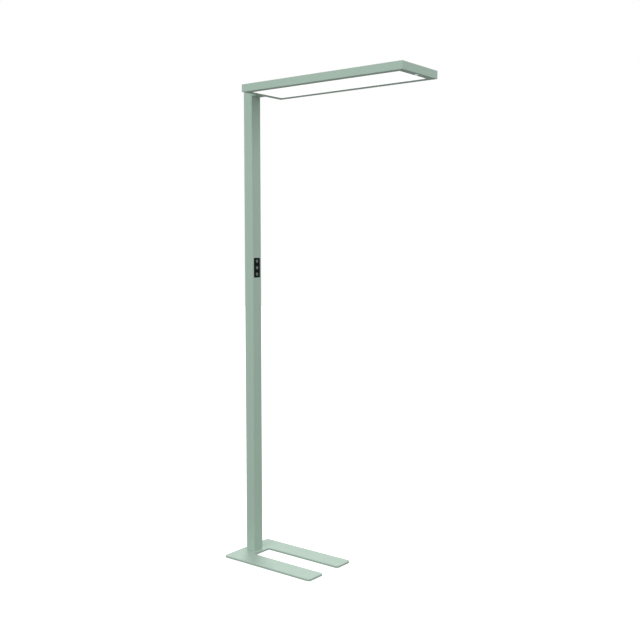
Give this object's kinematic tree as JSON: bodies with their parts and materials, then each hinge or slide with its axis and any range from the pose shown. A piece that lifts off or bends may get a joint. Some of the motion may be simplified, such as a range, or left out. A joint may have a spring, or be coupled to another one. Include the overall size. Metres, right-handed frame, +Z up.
{
  "type": "office floor lamp",
  "caption": "Free-standing floor lamp with a long flat lit head on a slender post, a U-shaped base plate, a push-button control panel and a presence sensor.",
  "frame": {"origin": "the post's centre line at floor level, on the underside of the centre pad", "axes": "+Z up along the post, +X towards the head's free end and the base plate's legs, +Y across the lamp"},
  "size_m": [0.858, 0.274, 1.95],
  "materials": {
    "sage_paint": "fine-textured matt powder coat",
    "panel_black": "smooth black",
    "inner_black": "matt black moulding",
    "button_cap": "satin grey moulding",
    "pad_rubber": "matt black rubber",
    "cable_sheath": "smooth black sheath",
    "wire_sleeve": "coloured wire insulation",
    "screw_steel": "bright zinc plate",
    "sheet_steel": "galvanised sheet",
    "bare_aluminium": "mill finish",
    "opal_diffuser": "lit opal acrylic, satin face",
    "clear_window": "frosted clear acrylic",
    "led_board": "white solder mask",
    "circuit_board": "green solder mask",
    "reflector_white": "white reflective coat",
    "moulded_white": "white moulding",
    "sensor_white": "translucent white lens"
  },
  "bodies": {
    "lamp": {"base_plate": "sage_paint", "base_pads": "pad_rubber", "foot_block": "bare_aluminium", "foot_screws": "screw_steel", "post": "sage_paint", "post_screws": "screw_steel", "post_cap": "sage_paint", "cord_bush": "pad_rubber", "gear_sled": "sheet_steel", "terminal_block": "moulded_white", "mains_wires": "wire_sleeve", "driver": "moulded_white", "post_loom": "cable_sheath", "panel_lead": "cable_sheath", "panel_bezel": "panel_black", "panel_tray": "inner_black", "panel_board": "circuit_board", "panel_screws": "screw_steel", "backing_plate": "sheet_steel", "neck": "sage_paint", "neck_screws": "screw_steel", "neck_brace": "sheet_steel", "side_rail_left": "sage_paint", "side_rail_right": "sage_paint", "end_rail_post": "sage_paint", "end_rail_free": "sage_paint", "corner_cleats": "sheet_steel", "carrier_plate": "bare_aluminium", "carrier_screws": "screw_steel", "led_boards_down": "led_board", "led_boards_up": "led_board", "reflector": "reflector_white", "diffuser": "opal_diffuser", "top_cover": "sage_paint", "cover_screws": "screw_steel", "uplight_window": "clear_window", "head_terminal": "moulded_white", "sensor_lead": "cable_sheath", "sensor_board": "circuit_board", "sensor_lens": "sensor_white"},
    "top_button": {"button_top": "button_cap"},
    "middle_button": {"button_middle": "button_cap"},
    "bottom_button": {"button_bottom": "button_cap"}
  },
  "joints": [
    {"name": "top_button_press", "type": "slide", "parent": "lamp", "child": "top_button", "axis": [-1, 0, 0], "range_m": [0, 0.0008], "stiffness_N_per_m": 2000, "springref_m": -0.0002},
    {"name": "middle_button_press", "type": "slide", "parent": "lamp", "child": "middle_button", "axis": [-1, 0, 0], "range_m": [0, 0.0008], "stiffness_N_per_m": 2000, "springref_m": -0.0002},
    {"name": "bottom_button_press", "type": "slide", "parent": "lamp", "child": "bottom_button", "axis": [-1, 0, 0], "range_m": [0, 0.0008], "stiffness_N_per_m": 2000, "springref_m": -0.0002}
  ]
}
